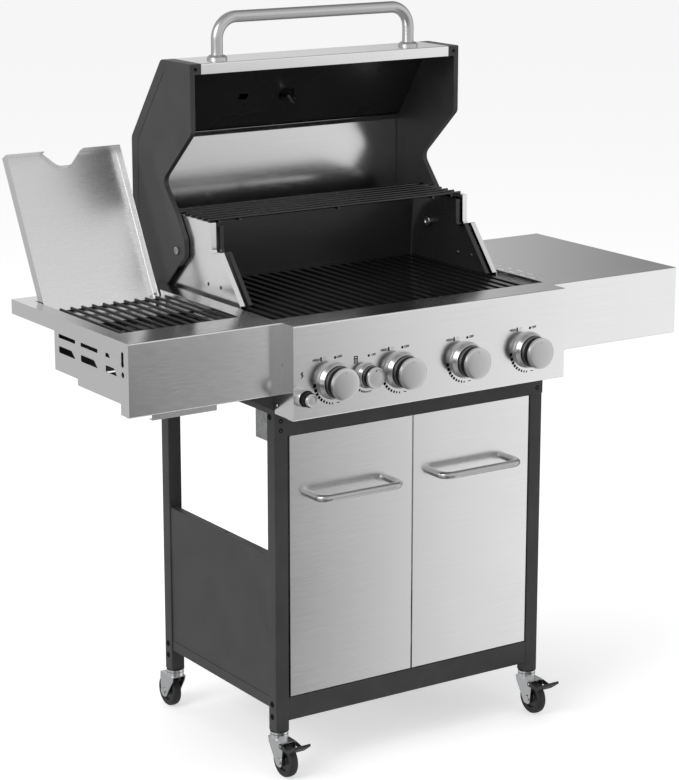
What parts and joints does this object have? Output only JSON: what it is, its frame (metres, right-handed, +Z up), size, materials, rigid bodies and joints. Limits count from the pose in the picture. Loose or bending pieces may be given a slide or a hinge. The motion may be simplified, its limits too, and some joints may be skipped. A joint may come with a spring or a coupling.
{
  "type": "gas barbecue grill",
  "caption": "Cabinet gas barbecue grill on casters with hinged main lid, side burner with flip-up lid, side tables and double doors.",
  "frame": {"origin": "on the floor at the centre of the bounding box, with both lids open and the doors shut", "axes": "+X to the right of someone facing the control panel, +Y from the control panel towards the back, +Z up"},
  "size_m": [1.208, 0.605, 1.3627],
  "materials": {
    "stainless": "brushed stainless sheet, satin",
    "black_paint": "satin dark grey powder coat",
    "black_enamel": "black porcelain enamel",
    "galvanised": "galvanised sheet, dull",
    "zinc_plated": "bright zinc plate",
    "burner_steel": "plain stainless, heat dulled",
    "chromed_wire": "dark wire",
    "satin_tube": "satin tube",
    "dial": "polished case with a plain scale",
    "brass": "machined brass",
    "bezel": "metallised grey plastic",
    "knob": "metallised silver plastic over a black skirt",
    "tread": "black rubber tread",
    "black_plastic": "black nylon"
  },
  "bodies": {
    "cart": {"front_left_leg": "black_paint", "front_right_leg": "black_paint", "rear_left_leg": "black_paint", "rear_right_leg": "black_paint", "front_rails": "black_paint", "side_and_rear_rails": "black_paint", "side_panels": "black_paint", "bottom_shelf": "black_paint", "mounting_brackets": "galvanised", "caster_stems": "zinc_plated", "control_panel": "stainless", "knob_bezels": "bezel", "gas_manifold": "galvanised", "gas_valves": "brass", "side_burner_pipe": "galvanised", "firebox": "black_enamel", "firebox_side_plates": "stainless", "main_burners": "burner_steel", "flame_tamers": "burner_steel", "cooking_grates": "black_enamel", "warming_rack": "chromed_wire", "hinge_pins": "galvanised", "left_table": "stainless", "left_fascia": "stainless", "side_burner_box": "stainless", "side_burner_pan": "galvanised", "side_burner": "black_enamel", "side_burner_grate": "black_enamel", "right_table": "stainless", "right_fascia": "stainless"},
    "main_lid": {"lid_skin": "stainless", "lid_left_end": "black_paint", "lid_right_end": "black_paint", "lid_liner": "black_enamel", "lid_back_panel": "stainless", "lid_handle": "satin_tube", "thermometer": "dial"},
    "side_lid": {"side_lid": "stainless"},
    "left_door": {"left_door": "stainless", "left_door_handle": "satin_tube"},
    "right_door": {"right_door": "stainless", "right_door_handle": "satin_tube"},
    "grease_drawer": {"grease_tray": "galvanised", "grease_cup": "galvanised"},
    "knob_1": {"knob_1": "knob"},
    "knob_2": {"knob_2": "knob"},
    "knob_3": {"knob_3": "knob"},
    "knob_4": {"knob_4": "knob"},
    "side_burner_knob": {"side_burner_knob": "knob"},
    "igniter_button": {"igniter_button": "knob"},
    "front_left_fork": {"front_left_fork": "zinc_plated"},
    "front_right_fork": {"front_right_fork": "zinc_plated"},
    "rear_left_fork": {"rear_left_fork": "zinc_plated"},
    "rear_right_fork": {"rear_right_fork": "zinc_plated"},
    "front_left_wheel": {"front_left_wheel": "tread"},
    "front_right_wheel": {"front_right_wheel": "tread"},
    "rear_left_wheel": {"rear_left_wheel": "tread"},
    "rear_right_wheel": {"rear_right_wheel": "tread"},
    "left_brake_pedal": {"left_brake_pedal": "black_plastic"},
    "right_brake_pedal": {"right_brake_pedal": "black_plastic"}
  },
  "joints": [
    {"name": "main_lid_hinge", "type": "hinge", "parent": "cart", "child": "main_lid", "pos_m": [0, 0.1341, 0.9266], "axis": [1, 0, 0], "range_deg": [0, 90]},
    {"name": "side_lid_hinge", "type": "hinge", "parent": "cart", "child": "side_lid", "pos_m": [-0.4555, 0.15, 0.846], "axis": [1, 0, 0], "range_deg": [0, 118]},
    {"name": "left_door_hinge", "type": "hinge", "parent": "cart", "child": "left_door", "pos_m": [-0.2605, -0.1965, 0.395], "axis": [0, 0, -1], "range_deg": [0, 105]},
    {"name": "right_door_hinge", "type": "hinge", "parent": "cart", "child": "right_door", "pos_m": [0.2605, -0.1965, 0.395], "axis": [0, 0, 1], "range_deg": [0, 105]},
    {"name": "grease_tray_slide", "type": "slide", "parent": "cart", "child": "grease_drawer", "axis": [0, 1, 0], "range_m": [0, 0.3]},
    {"name": "knob_1_turn", "type": "hinge", "parent": "cart", "child": "knob_1", "pos_m": [-0.21555, -0.2925, 0.749], "axis": [0, -1, 0], "range_deg": [0, 180]},
    {"name": "knob_2_turn", "type": "hinge", "parent": "cart", "child": "knob_2", "pos_m": [-0.07185, -0.2925, 0.749], "axis": [0, -1, 0], "range_deg": [0, 180]},
    {"name": "knob_3_turn", "type": "hinge", "parent": "cart", "child": "knob_3", "pos_m": [0.07185, -0.2925, 0.749], "axis": [0, -1, 0], "range_deg": [0, 180]},
    {"name": "knob_4_turn", "type": "hinge", "parent": "cart", "child": "knob_4", "pos_m": [0.21555, -0.2925, 0.749], "axis": [0, -1, 0], "range_deg": [0, 180]},
    {"name": "side_burner_knob_turn", "type": "hinge", "parent": "cart", "child": "side_burner_knob", "pos_m": [-0.1447, -0.2825, 0.749], "axis": [0, -1, 0], "range_deg": [0, 180]},
    {"name": "igniter_press", "type": "slide", "parent": "cart", "child": "igniter_button", "axis": [0, 1, 0], "range_m": [0, 0.005], "stiffness_N_per_m": 400},
    {"name": "front_left_swivel", "type": "hinge", "parent": "cart", "child": "front_left_fork", "pos_m": [-0.286, -0.1895, 0.075], "axis": [0, 0, 1], "continuous": true},
    {"name": "rear_left_swivel", "type": "hinge", "parent": "cart", "child": "rear_left_fork", "pos_m": [-0.286, 0.1945, 0.075], "axis": [0, 0, 1], "continuous": true},
    {"name": "front_left_wheel_roll", "type": "hinge", "parent": "front_left_fork", "child": "front_left_wheel", "pos_m": [-0.286, -0.2115, 0.03175], "axis": [1, 0, 0], "continuous": true},
    {"name": "rear_left_wheel_roll", "type": "hinge", "parent": "rear_left_fork", "child": "rear_left_wheel", "pos_m": [-0.286, 0.2165, 0.03175], "axis": [1, 0, 0], "continuous": true},
    {"name": "left_brake_press", "type": "hinge", "parent": "front_left_fork", "child": "left_brake_pedal", "pos_m": [-0.286, -0.2195, 0.064], "axis": [1, 0, 0], "range_deg": [0, 18]},
    {"name": "front_right_swivel", "type": "hinge", "parent": "cart", "child": "front_right_fork", "pos_m": [0.286, -0.1895, 0.075], "axis": [0, 0, 1], "continuous": true},
    {"name": "rear_right_swivel", "type": "hinge", "parent": "cart", "child": "rear_right_fork", "pos_m": [0.286, 0.1945, 0.075], "axis": [0, 0, 1], "continuous": true},
    {"name": "front_right_wheel_roll", "type": "hinge", "parent": "front_right_fork", "child": "front_right_wheel", "pos_m": [0.286, -0.2115, 0.03175], "axis": [1, 0, 0], "continuous": true},
    {"name": "rear_right_wheel_roll", "type": "hinge", "parent": "rear_right_fork", "child": "rear_right_wheel", "pos_m": [0.286, 0.2165, 0.03175], "axis": [1, 0, 0], "continuous": true},
    {"name": "right_brake_press", "type": "hinge", "parent": "front_right_fork", "child": "right_brake_pedal", "pos_m": [0.286, -0.2195, 0.064], "axis": [1, 0, 0], "range_deg": [0, 18]}
  ]
}
